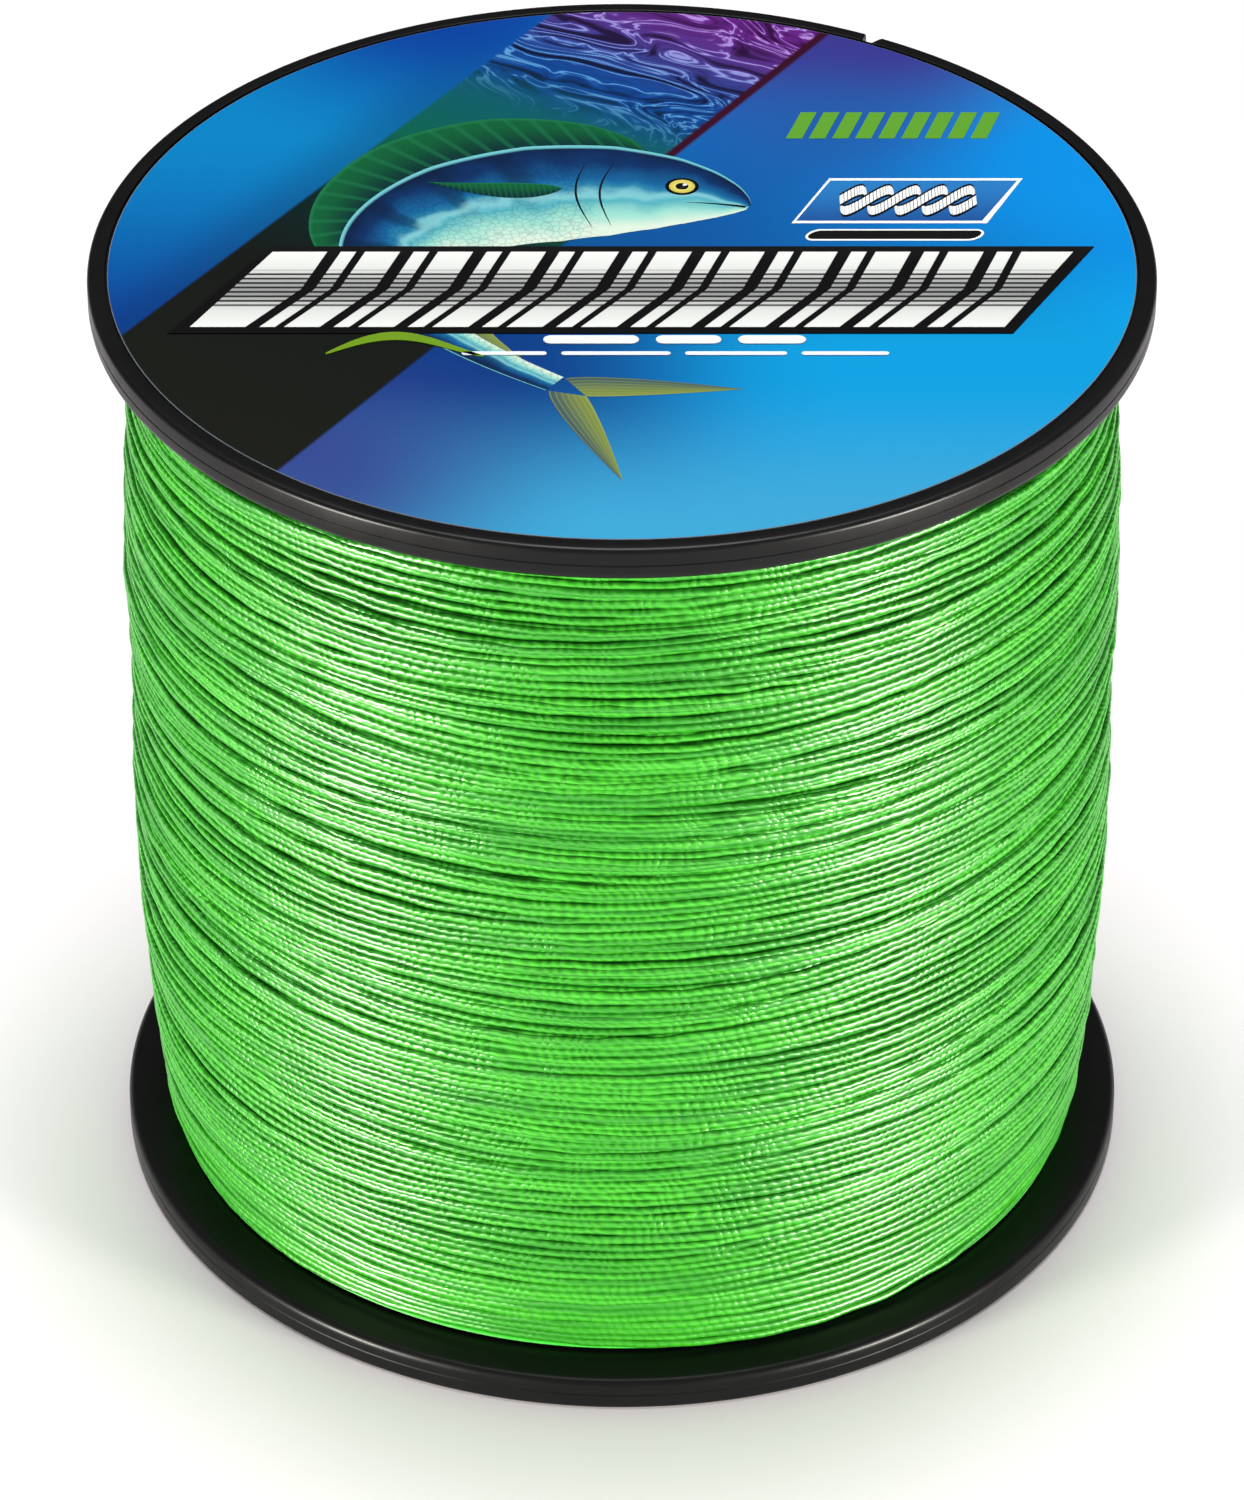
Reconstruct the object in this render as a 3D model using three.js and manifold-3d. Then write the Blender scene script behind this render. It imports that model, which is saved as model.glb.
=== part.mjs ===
// Bulk spool of braided fishing line: two identical moulded flanges clipped into the ends of a
// barrel, the wound line, the tapes that hold its two ends, and the stickers.
// Millimetres, +Z up along the spool's axis, origin at the centre of the face that it stands on.

import * as THREE from "three";
import { mergeVertices } from "three/addons/utils/BufferGeometryUtils.js";
import Module from "manifold-3d";

const wasm = await Module();
wasm.setup();

// Driving dimensions
const FLANGE_RADIUS = 45;
const SPOOL_HEIGHT = 88.4;
const RIM_THICKNESS = 3;
const BARREL_RADIUS = 21;
const WALL = 1.8;
const BORE_RADIUS = 6.5;
const FIT_GAP = 0.3; // between a piece and the one that it sits in or against
const SEGMENTS = 72; // round pieces, in steps of 5 degrees

// Flange: a disc with a beaded rim, a shallow seat for its sticker, and a ribbed cup for the barrel
const LABEL_SEAT_RADIUS = 43.5;
const LABEL_SEAT_DEPTH = 0.3;
const RIM_INNER_FILLET = 0.8;
const RIM_OUTER_FILLET = 0.45;
const FILLET_STEPS = 4;
const CUP_RADIUS = BARREL_RADIUS - WALL - FIT_GAP;
const CUP_DEPTH = 6.5;
const CUP_FLOOR = 1.5;
const BOSS_RADIUS = 9;
const BOSS_DEPTH = 12;
const RIBS = 6;
const RIB_THICKNESS = 1.6;
const RIB_DROP = 0.6; // the ribs stop this far under the seat

// Line notch in the rim, where the free end of the line can be parked
const NOTCH_ANGLE = THREE.MathUtils.degToRad(60);
const NOTCH_WIDTH = 1.3;
const NOTCH_DEPTH = 1.5;

// Clips round the cup, and the windows in the barrel that they click into
const CLIPS = 4;
const CLIP_ANGLE = THREE.MathUtils.degToRad(45);
const CLIP_WIDTH = 5;
const CLIP_HEIGHT = 1.4;
const CLIP_DEPTH = 3.5; // from the flange's inner face to the clip's middle
const CLIP_REACH = 1.5;

// Wound line: [share of the winding height, radius], a little barrelled and lumpy
const PACK_PROFILE = [
  [0, 41.2],
  [0.05, 41.7],
  [0.14, 42.3],
  [0.26, 42.7],
  [0.36, 43.0],
  [0.46, 42.85],
  [0.56, 42.6],
  [0.68, 42.85],
  [0.76, 42.6],
  [0.86, 42.2],
  [0.95, 41.6],
  [1, 41.3],
];
const PACK_BORE = BARREL_RADIUS + 0.7;

// Stickers and tapes
const LABEL_RADIUS = 43.3;
const LABEL_THICKNESS = 0.2;
const STICKER_SIZE = new THREE.Vector2(32, 13);
const STICKER_CENTRE = new THREE.Vector2(0, -31);
const STICKER_THICKNESS = 0.15;
const STICKER_CORNER = 1.5;
const STICKER_GAP = 0.05;
const TAPE_THICKNESS = 0.25;
const ANCHOR_TAPE = { width: 12, arc: 60, angle: 0, height: 20 };
const END_TAPE = { width: 9, arc: 26, angle: 96, height: 33 };
const END_TAPE_RADIUS = 43.15; // clear of the pack's fullest turn

// Where things come to rest
const LOWER_FACE = RIM_THICKNESS;
const UPPER_FACE = SPOOL_HEIGHT - RIM_THICKNESS;
const PACK_BOTTOM = LOWER_FACE + FIT_GAP;
const PACK_TOP = UPPER_FACE - FIT_GAP;
const SEAT_HEIGHT = RIM_THICKNESS - LABEL_SEAT_DEPTH; // above the flange's inner face

const materials = {
  plastic: new THREE.MeshStandardMaterial({ color: 0x1f1f21, roughness: 0.38, metalness: 0 }),
  line: new THREE.MeshStandardMaterial({ color: 0x33c81e, roughness: 0.35, metalness: 0 }),
  label: new THREE.MeshStandardMaterial({ color: 0x0a7fd0, roughness: 0.25, metalness: 0 }),
  paper: new THREE.MeshStandardMaterial({ color: 0xf2f2ee, roughness: 0.6, metalness: 0 }),
  tape: new THREE.MeshStandardMaterial({ color: 0xe6e2d2, roughness: 0.4, metalness: 0 }),
};

// Makes a manifold-3d solid from a closed three.js geometry.
function solid(geometry) {
  const plain = geometry.clone();
  plain.deleteAttribute("normal");
  plain.deleteAttribute("uv");
  const merged = mergeVertices(plain, 1e-4);
  return new wasm.Manifold(
    new wasm.Mesh({
      numProp: 3,
      vertProperties: merged.attributes.position.array,
      triVerts: new Uint32Array(merged.index.array),
    }),
  );
}

// Makes a three.js geometry from a manifold-3d solid.
function geometryOf(made) {
  const { vertProperties, triVerts } = made.getMesh();
  const geometry = new THREE.BufferGeometry();
  geometry.setAttribute("position", new THREE.BufferAttribute(vertProperties, 3));
  geometry.setIndex(new THREE.BufferAttribute(triVerts, 1));
  return geometry;
}

// A turned ring about Z from a closed outline of [radius, height] points.
function turned(outline) {
  const points = [...outline, outline[0]].map(([r, z]) => new THREE.Vector2(r, z));
  return new THREE.LatheGeometry(points, SEGMENTS).rotateX(Math.PI / 2);
}

// Points along a quarter-round corner from one angle to another, in degrees.
function fillet(r, z, radius, from, to) {
  return Array.from({ length: FILLET_STEPS + 1 }, (_, i) => {
    const angle = THREE.MathUtils.degToRad(from + ((to - from) * i) / FILLET_STEPS);
    return [r + radius * Math.cos(angle), z + radius * Math.sin(angle)];
  });
}

// A block whose middle is at a radius and an angle about Z.
function blockAt(size, radius, angle, z) {
  return new THREE.BoxGeometry(...size)
    .translate(radius, 0, z)
    .rotateZ(angle);
}

// One flange moulding, its inner face at z = 0 and its sticker seat facing up.
function flange() {
  const inner = RIM_INNER_FILLET;
  const outer = RIM_OUTER_FILLET;
  const body = turned([
    [BORE_RADIUS, -BOSS_DEPTH],
    [BOSS_RADIUS, -BOSS_DEPTH],
    [BOSS_RADIUS, -CUP_DEPTH],
    [CUP_RADIUS, -CUP_DEPTH],
    [CUP_RADIUS, 0],
    ...fillet(FLANGE_RADIUS - inner, inner, inner, -90, 0),
    ...fillet(FLANGE_RADIUS - outer, RIM_THICKNESS - outer, outer, 0, 90),
    [LABEL_SEAT_RADIUS, RIM_THICKNESS],
    [LABEL_SEAT_RADIUS, SEAT_HEIGHT],
    [CUP_RADIUS - WALL, SEAT_HEIGHT],
    [CUP_RADIUS - WALL, CUP_FLOOR - CUP_DEPTH],
    [BOSS_RADIUS, CUP_FLOOR - CUP_DEPTH],
    [BOSS_RADIUS, SEAT_HEIGHT],
    [BORE_RADIUS, SEAT_HEIGHT],
  ]);
  let made = solid(body);

  const ribLength = CUP_RADIUS - BOSS_RADIUS - WALL / 2;
  const ribBottom = CUP_FLOOR / 2 - CUP_DEPTH;
  const ribTop = SEAT_HEIGHT - RIB_DROP;
  const ribMiddle = BOSS_RADIUS - WALL / 4 + ribLength / 2;
  for (let i = 0; i < RIBS; i += 1) {
    const rib = blockAt(
      [ribLength, RIB_THICKNESS, ribTop - ribBottom],
      ribMiddle,
      (i * 2 * Math.PI) / RIBS,
      (ribTop + ribBottom) / 2,
    );
    made = made.add(solid(rib));
  }

  const clipLength = CLIP_REACH + WALL / 2;
  for (let i = 0; i < CLIPS; i += 1) {
    const clip = blockAt(
      [clipLength, CLIP_WIDTH, CLIP_HEIGHT],
      CUP_RADIUS + CLIP_REACH - clipLength / 2,
      CLIP_ANGLE + (i * 2 * Math.PI) / CLIPS,
      -CLIP_DEPTH,
    );
    made = made.add(solid(clip));
  }

  const notch = blockAt(
    [2 * NOTCH_DEPTH, NOTCH_WIDTH, 4 * RIM_THICKNESS],
    FLANGE_RADIUS,
    NOTCH_ANGLE,
    0,
  );
  return geometryOf(made.subtract(solid(notch)));
}

// The tube between the flanges, with a ring of clip windows near each end.
function barrel() {
  const inner = BARREL_RADIUS - WALL;
  const length = UPPER_FACE - LOWER_FACE - FIT_GAP;
  const bottom = LOWER_FACE + FIT_GAP / 2;
  let made = solid(
    turned([
      [inner, bottom],
      [BARREL_RADIUS, bottom],
      [BARREL_RADIUS, bottom + length],
      [inner, bottom + length],
    ]),
  );
  const window = [4 * WALL, CLIP_WIDTH + 2 * FIT_GAP, CLIP_HEIGHT + 2 * FIT_GAP];
  for (const z of [LOWER_FACE + CLIP_DEPTH, UPPER_FACE - CLIP_DEPTH]) {
    for (let i = 0; i < CLIPS; i += 1) {
      const angle = CLIP_ANGLE + (i * 2 * Math.PI) / CLIPS;
      made = made.subtract(solid(blockAt(window, BARREL_RADIUS, angle, z)));
    }
  }
  return geometryOf(made);
}

// The whole winding as one ring with the barrelled outside that the turns build up.
function linePack() {
  const outside = PACK_PROFILE.map(([share, r]) => [
    r,
    THREE.MathUtils.lerp(PACK_BOTTOM, PACK_TOP, share),
  ]);
  return turned([[PACK_BORE, PACK_BOTTOM], ...outside, [PACK_BORE, PACK_TOP]]);
}

// The printed disc in the upper flange's seat.
function topLabel() {
  return new THREE.CylinderGeometry(LABEL_RADIUS, LABEL_RADIUS, LABEL_THICKNESS, SEGMENTS)
    .rotateX(Math.PI / 2)
    .translate(0, 0, UPPER_FACE + SEAT_HEIGHT + STICKER_GAP + LABEL_THICKNESS / 2);
}

// The small sticker in the lower flange's seat, with rounded corners.
function specSticker() {
  const [x, y] = [STICKER_SIZE.x / 2, STICKER_SIZE.y / 2];
  const c = STICKER_CORNER;
  const shape = new THREE.Shape()
    .moveTo(c - x, -y)
    .lineTo(x - c, -y)
    .quadraticCurveTo(x, -y, x, c - y)
    .lineTo(x, y - c)
    .quadraticCurveTo(x, y, x - c, y)
    .lineTo(c - x, y)
    .quadraticCurveTo(-x, y, -x, y - c)
    .lineTo(-x, c - y)
    .quadraticCurveTo(-x, -y, c - x, -y);
  const settings = { depth: STICKER_THICKNESS, bevelEnabled: false, curveSegments: 4 };
  return new THREE.ExtrudeGeometry(shape, settings).translate(
    STICKER_CENTRE.x,
    STICKER_CENTRE.y,
    LABEL_SEAT_DEPTH - STICKER_GAP - STICKER_THICKNESS,
  );
}

// A strip of tape wrapped round part of a cylinder; arc and angle are in degrees.
function wrappedTape(radius, { width, arc, angle, height }) {
  const from = THREE.MathUtils.degToRad(angle - arc / 2);
  const to = THREE.MathUtils.degToRad(angle + arc / 2);
  const shape = new THREE.Shape()
    .absarc(0, 0, radius + TAPE_THICKNESS, from, to, false)
    .absarc(0, 0, radius, to, from, true);
  const settings = { depth: width, bevelEnabled: false, curveSegments: 12 };
  return new THREE.ExtrudeGeometry(shape, settings).translate(0, 0, height);
}

function piece(name, geometry, material) {
  const mesh = new THREE.Mesh(geometry, material);
  mesh.name = name;
  return mesh;
}

const spool = new THREE.Group();

const upperFlange = piece("upper_flange", flange(), materials.plastic);
upperFlange.position.z = UPPER_FACE;
spool.add(upperFlange);

const lowerFlange = piece("lower_flange", flange(), materials.plastic);
lowerFlange.position.z = LOWER_FACE;
lowerFlange.rotation.y = Math.PI;
spool.add(lowerFlange);

spool.add(piece("barrel", barrel(), materials.plastic));
spool.add(piece("line_pack", linePack(), materials.line));
spool.add(piece("top_label", topLabel(), materials.label));
spool.add(piece("spec_sticker", specSticker(), materials.paper));
spool.add(
  piece("anchor_tape", wrappedTape(BARREL_RADIUS + TAPE_THICKNESS / 2, ANCHOR_TAPE), materials.tape),
);
spool.add(piece("end_tape", wrappedTape(END_TAPE_RADIUS, END_TAPE), materials.tape));

export default spool;
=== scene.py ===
"""A bulk spool of braided fishing line: two beaded flanges, the wound line, a printed disc and tapes.

Sizes are written in millimetres and meshes are brought to metres when they are finished.
The frame is the part's own: +Z up along the spool's axis, origin under the lower flange.
"""

import logging
import math
from dataclasses import dataclass
from enum import Enum
from functools import cached_property
from typing import Callable, Sequence

import bmesh
import bpy
import numpy as np
from bmesh.types import BMesh, BMVert
from bpy.types import Material, Mesh, NodeSocket, Object
from mathutils import Matrix, Vector


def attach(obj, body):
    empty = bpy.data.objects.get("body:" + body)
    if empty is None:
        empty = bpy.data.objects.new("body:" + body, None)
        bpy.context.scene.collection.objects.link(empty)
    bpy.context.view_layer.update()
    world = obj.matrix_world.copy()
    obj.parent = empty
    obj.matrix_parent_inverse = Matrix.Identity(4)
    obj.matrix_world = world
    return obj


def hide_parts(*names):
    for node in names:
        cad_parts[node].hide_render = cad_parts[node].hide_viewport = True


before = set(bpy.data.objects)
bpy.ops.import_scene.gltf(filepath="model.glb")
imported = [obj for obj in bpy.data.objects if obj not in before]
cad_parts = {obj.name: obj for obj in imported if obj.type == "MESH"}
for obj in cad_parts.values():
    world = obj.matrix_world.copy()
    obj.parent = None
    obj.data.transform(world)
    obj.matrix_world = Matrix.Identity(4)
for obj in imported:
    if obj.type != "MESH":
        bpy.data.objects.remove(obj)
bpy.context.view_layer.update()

LOG = logging.getLogger("spool")
MM = 0.001
WELD = 0.001
BODY = "root"
TAU = 2 * math.pi

FLANGE_RADIUS = 45.0
SPOOL_HEIGHT = 88.4
RIM_THICKNESS = 3.0
LOWER_FACE = RIM_THICKNESS
UPPER_FACE = SPOOL_HEIGHT - RIM_THICKNESS
PACK_GAP = 0.3
PACK_BOTTOM = LOWER_FACE + PACK_GAP
PACK_TOP = UPPER_FACE - PACK_GAP
LINE_PITCH = 0.75
REST_RADIUS = 42.0
LABEL_TOP = 88.35
PRINT_FOOT = LABEL_TOP + 0.005
PRINT_DENSITY = 0.76

Colour = tuple[float, float, float, float]
Triple = tuple[float, float, float]
Shape = Sequence[tuple[float, float]]
Outline = Sequence[Triple]
Spot = Callable[[float, float], Vector]


class Slot(str, Enum):
    """The material slots of the part's record."""

    PLASTIC = "spool_plastic"
    LINE = "braided_line"
    PRINT = "label_print"
    PAPER = "sticker_paper"
    TAPE = "tape_film"


class Seat(Enum):
    """Which way a flange's sticker seat faces."""

    UP = "upper"
    DOWN = "lower"


def ink(red: int, green: int, blue: int) -> Colour:
    """Turns an ordinary screen colour into the linear colour that shaders use.

    Args:
        red: Red, from 0 to 255.
        green: Green, from 0 to 255.
        blue: Blue, from 0 to 255.

    Returns:
        The linear colour, with full alpha.
    """
    linear = []
    for channel in (red, green, blue):
        share = channel / 255
        linear.append(share / 12.92 if share <= 0.04045 else ((share + 0.055) / 1.055) ** 2.4)
    return (*linear, 1.0)


class Recipe:
    """Writes the nodes of one procedural material, from coordinates to the shader."""

    def __init__(self, name: str) -> None:
        """Starts a material with one Principled shader.

        Args:
            name: The material's name.
        """
        self.material = bpy.data.materials.new(name)
        self.material.use_nodes = True
        self.tree = self.material.node_tree
        self.shader = self.tree.nodes["Principled BSDF"]

    def feed(self, socket: NodeSocket, value: object) -> None:
        """Links a socket to an output, or sets it to a constant.

        Args:
            socket: The input socket.
            value: An output, a constant, or None to leave the socket alone.
        """
        if isinstance(value, NodeSocket):
            self.tree.links.new(value, socket)
        elif value is not None:
            socket.default_value = value

    def node(self, kind: str, inputs: dict, output: object = 0, **settings: object) -> NodeSocket:
        """Adds one node.

        Args:
            kind: The shader node's type name, without its common start.
            inputs: What each input is fed, by name or number.
            output: The name or number of the output that is wanted.
            **settings: Properties to set on the node.

        Returns:
            The output.
        """
        made = self.tree.nodes.new("ShaderNode" + kind)
        for key, value in settings.items():
            setattr(made, key, value)
        for key, value in inputs.items():
            self.feed(made.inputs[key], value)
        return made.outputs[output]

    def set(self, **values: object) -> None:
        """Sets or links the shader's inputs; underscores in a name stand for spaces."""
        for key, value in values.items():
            self.feed(self.shader.inputs[key.replace("_", " ")], value)

    @cached_property
    def place(self) -> NodeSocket:
        """The piece's own coordinates, in millimetres."""
        source = self.node("TexCoord", {}, "Object")
        return self.node("VectorMath", {0: source, "Scale": 1 / MM}, operation="SCALE")

    @cached_property
    def uv(self) -> tuple[NodeSocket, ...]:
        """The place on a printed patch: along it, and up it."""
        return self.split(self.node("UVMap", {}, uv_map="UVMap"))[:2]

    def split(self, vector: NodeSocket) -> tuple[NodeSocket, ...]:
        """The three parts of a vector."""
        return tuple(self.node("SeparateXYZ", {0: vector}).node.outputs)

    def join(self, x: object, y: object, z: object) -> NodeSocket:
        """A vector from its three parts."""
        return self.node("CombineXYZ", {0: x, 1: y, 2: z})

    def math(self, operation: str, *values: object) -> NodeSocket:
        """The result of a Math node."""
        return self.node("Math", dict(enumerate(values)), operation=operation)

    def times(self, first: object, second: object) -> NodeSocket:
        """The product of two values."""
        return self.math("MULTIPLY", first, second)

    def scaled(self, value: object, factor: object, offset: object) -> NodeSocket:
        """A value times a factor, plus an offset."""
        return self.math("MULTIPLY_ADD", value, factor, offset)

    def smooth(self, value: object, low: float, high: float) -> NodeSocket:
        """A smooth step from 0 at low to 1 at high; it falls where low is the greater."""
        ends = {"From Min": min(low, high), "From Max": max(low, high)}
        ends |= {"To Min": float(low > high), "To Max": float(high > low), "Value": value}
        return self.node("MapRange", ends, "Result", interpolation_type="SMOOTHSTEP")

    def mix(self, share: object, low: object, high: object, blend: str = "MIX") -> NodeSocket:
        """The first colour with a share of the second."""
        colours = {0: share, 6: low, 7: high}
        return self.node("Mix", colours, 2, data_type="RGBA", blend_type=blend, clamp_factor=True)

    def tint(self, tone: object, share: object, amount: float, over: Colour) -> NodeSocket:
        """A colour with some of another over it, by a share of an amount."""
        return self.mix(self.times(share, amount), tone, over)

    def printed(self, tone: object) -> NodeSocket:
        """An ink's colour as it lies on the disc."""
        return self.mix(1.0, tone, (PRINT_DENSITY, PRINT_DENSITY, PRINT_DENSITY, 1.0), "MULTIPLY")

    def ramp(self, value: object, stops: Sequence[tuple[float, Colour]]) -> NodeSocket:
        """A colour ramp.

        Args:
            value: Where to read it.
            stops: Pairs of position and colour.

        Returns:
            The colour.
        """
        colour = self.node("ValToRGB", {0: value})
        elements = colour.node.color_ramp.elements
        while len(elements) < len(stops):
            elements.new(0.5)
        for element, (position, tone) in zip(elements, stops):
            element.position = position
            element.color = tone
        return colour

    def along(self, vector: NodeSocket, direction: Triple) -> NodeSocket:
        """How far a point lies along a direction."""
        return self.node("VectorMath", {0: vector, 1: direction}, "Value", operation="DOT_PRODUCT")

    def distance(self, vector: NodeSocket, centre: Triple) -> NodeSocket:
        """The distance of a point from a centre."""
        return self.node("VectorMath", {0: vector, 1: centre}, "Value", operation="DISTANCE")

    def noise(self, scale: float, detail: float, at: object = None, folds: float = 0.0) -> NodeSocket:
        """Noise from 0 to 1, read at the piece's own place unless told otherwise."""
        inputs = {"Vector": self.place if at is None else at, "Scale": scale, "Detail": detail}
        return self.node("TexNoise", {**inputs, "Distortion": folds})

    def attribute(self, name: str) -> NodeSocket:
        """A number that the piece's mesh carries."""
        return self.node("Attribute", {}, "Fac", attribute_name=name)

    def bump(self, height: object, depth: float, under: object = None) -> NodeSocket:
        """A bumped normal, from a height of 0 to 1 that stands so many millimetres deep."""
        inputs = {"Strength": 1.0, "Distance": depth * MM, "Height": height, "Normal": under}
        return self.node("Bump", inputs)

    def film(self, tone: object) -> None:
        """Ends the recipe as printed ink under the disc's film."""
        peel = self.bump(self.noise(0.9, 2), 0.012)
        self.set(Base_Color=self.printed(tone), Roughness=0.45, Specular_IOR_Level=0.06, Normal=peel)


@dataclass(frozen=True)
class Finish:
    """A finish that is written as one material."""

    name: str

    def write(self, recipe: Recipe) -> None:
        """Writes the finish's nodes, which each finish does in its own way."""
        raise NotImplementedError

    def make(self) -> Material:
        """Makes the material."""
        recipe = Recipe(self.name)
        self.write(recipe)
        return recipe.material


@dataclass(frozen=True)
class MouldedPlastic(Finish):
    """Black moulded plastic with a satin polish and the faint flow of the mould."""

    name: str = "moulded_black_plastic"
    tone: Colour = ink(10, 10, 11)
    flow: Colour = ink(8, 8, 9)
    roughness: float = 0.34
    grain: float = 0.004

    def write(self, recipe: Recipe) -> None:
        """Writes the plastic.

        Args:
            recipe: The material being written.
        """
        tone = recipe.mix(recipe.smooth(recipe.noise(0.06, 3), 0.3, 0.7), self.tone, self.flow)
        rough = recipe.scaled(recipe.noise(0.35, 4), 0.16, self.roughness - 0.08)
        grain = recipe.bump(recipe.noise(2.4, 4), self.grain)
        recipe.set(Base_Color=tone, Roughness=rough, Specular_IOR_Level=0.13, Normal=grain)


@dataclass(frozen=True)
class BraidFinish(Finish):
    """Green braid: strands that cross over each turn, with painted shade where the turns meet and where the
    strands dip under, and a silky gloss.
    """

    name: str = "green_braid"
    picks: int = 280
    slip: float = 2.39996
    # painted shade: the dark green laid into the grooves between turns and where the strands dip under
    painted_shade: Colour = ink(14, 92, 10)
    body: Colour = ink(25, 109, 12)
    bright: Colour = ink(44, 137, 18)
    sheen: Colour = (0.82, 1.0, 0.78, 1.0)
    roughness: float = 0.38
    zigzag: float = 0.15

    def write(self, recipe: Recipe) -> None:
        """Writes the braid from the turn and the side that each vertex carries.

        Args:
            recipe: The material being written.
        """
        x, y, z = recipe.split(recipe.place)
        side = recipe.attribute("side")
        drift = recipe.times(recipe.noise(0.22, 2), 26.0)
        travel = recipe.scaled(recipe.math("ARCTAN2", y, x), self.picks, drift)
        travel = recipe.scaled(recipe.attribute("turn"), self.slip, travel)
        wrap = recipe.times(side, TAU)
        right = recipe.math("COSINE", recipe.math("ADD", travel, wrap))
        left = recipe.scaled(recipe.math("COSINE", recipe.math("SUBTRACT", travel, wrap)), 0.75, -0.2)
        plait = recipe.scaled(recipe.math("SMOOTH_MAX", right, left, 0.4), 0.5, 0.5)
        swing = recipe.times(recipe.noise(0.45, 2), self.zigzag)
        shifted = recipe.scaled(recipe.math("SINE", travel), swing, side)
        crown = recipe.math("COSINE", recipe.times(shifted, TAU))
        # painted shade mask: darkens each turn towards its edges, where it meets the next turn
        groove_shade = recipe.smooth(recipe.math("ABSOLUTE", shifted), 0.03, 0.23)
        fibre = recipe.noise(5.5, 3)
        stretched = recipe.join(recipe.times(x, 0.06), recipe.times(y, 0.06), recipe.times(z, 1.6))
        streak = recipe.smooth(recipe.noise(1.0, 3, stretched), 0.36, 0.64)
        tone = recipe.mix(streak, self.body, self.bright)
        # painted shade where the strands of the plait dip under, following the plait's height
        tone = recipe.tint(tone, recipe.smooth(plait, 0.45, 0.0), 0.5, self.painted_shade)
        # weakens the painted groove shade and the crown relief towards the bottom of the winding
        clear = recipe.scaled(recipe.smooth(z, 4.0, 17.0), 0.65, 0.35)
        # lays the painted shade into the grooves between turns
        tone = recipe.tint(tone, recipe.times(groove_shade, clear), 0.7, self.painted_shade)
        relief = recipe.times(recipe.scaled(fibre, 0.8, plait), 0.11)
        relief = recipe.scaled(recipe.times(crown, clear), 0.8, relief)
        rough = recipe.scaled(fibre, 0.16, self.roughness - 0.08)
        recipe.set(Base_Color=tone, Roughness=rough, Normal=recipe.bump(relief, 0.09))
        recipe.set(Metallic=0.16, Specular_IOR_Level=0.95, Specular_Tint=self.sheen)
        recipe.set(Coat_Weight=0.06, Coat_Roughness=0.3)


@dataclass(frozen=True)
class DeepLine(Finish):
    """The line under the outer turns, where little light gets in."""

    name: str = "green_braid_below"
    low: Colour = ink(24, 124, 18)
    high: Colour = ink(34, 146, 26)

    def write(self, recipe: Recipe) -> None:
        """Writes the rows of turns below.

        Args:
            recipe: The material being written.
        """
        _, _, z = recipe.split(recipe.place)
        cloud = recipe.noise(1.2, 3)
        rows = recipe.scaled(recipe.math("SINE", recipe.times(z, TAU / LINE_PITCH)), 0.5, cloud)
        tone = recipe.mix(cloud, self.low, self.high)
        recipe.set(Base_Color=tone, Roughness=0.55, Normal=recipe.bump(rows, 0.1))


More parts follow.
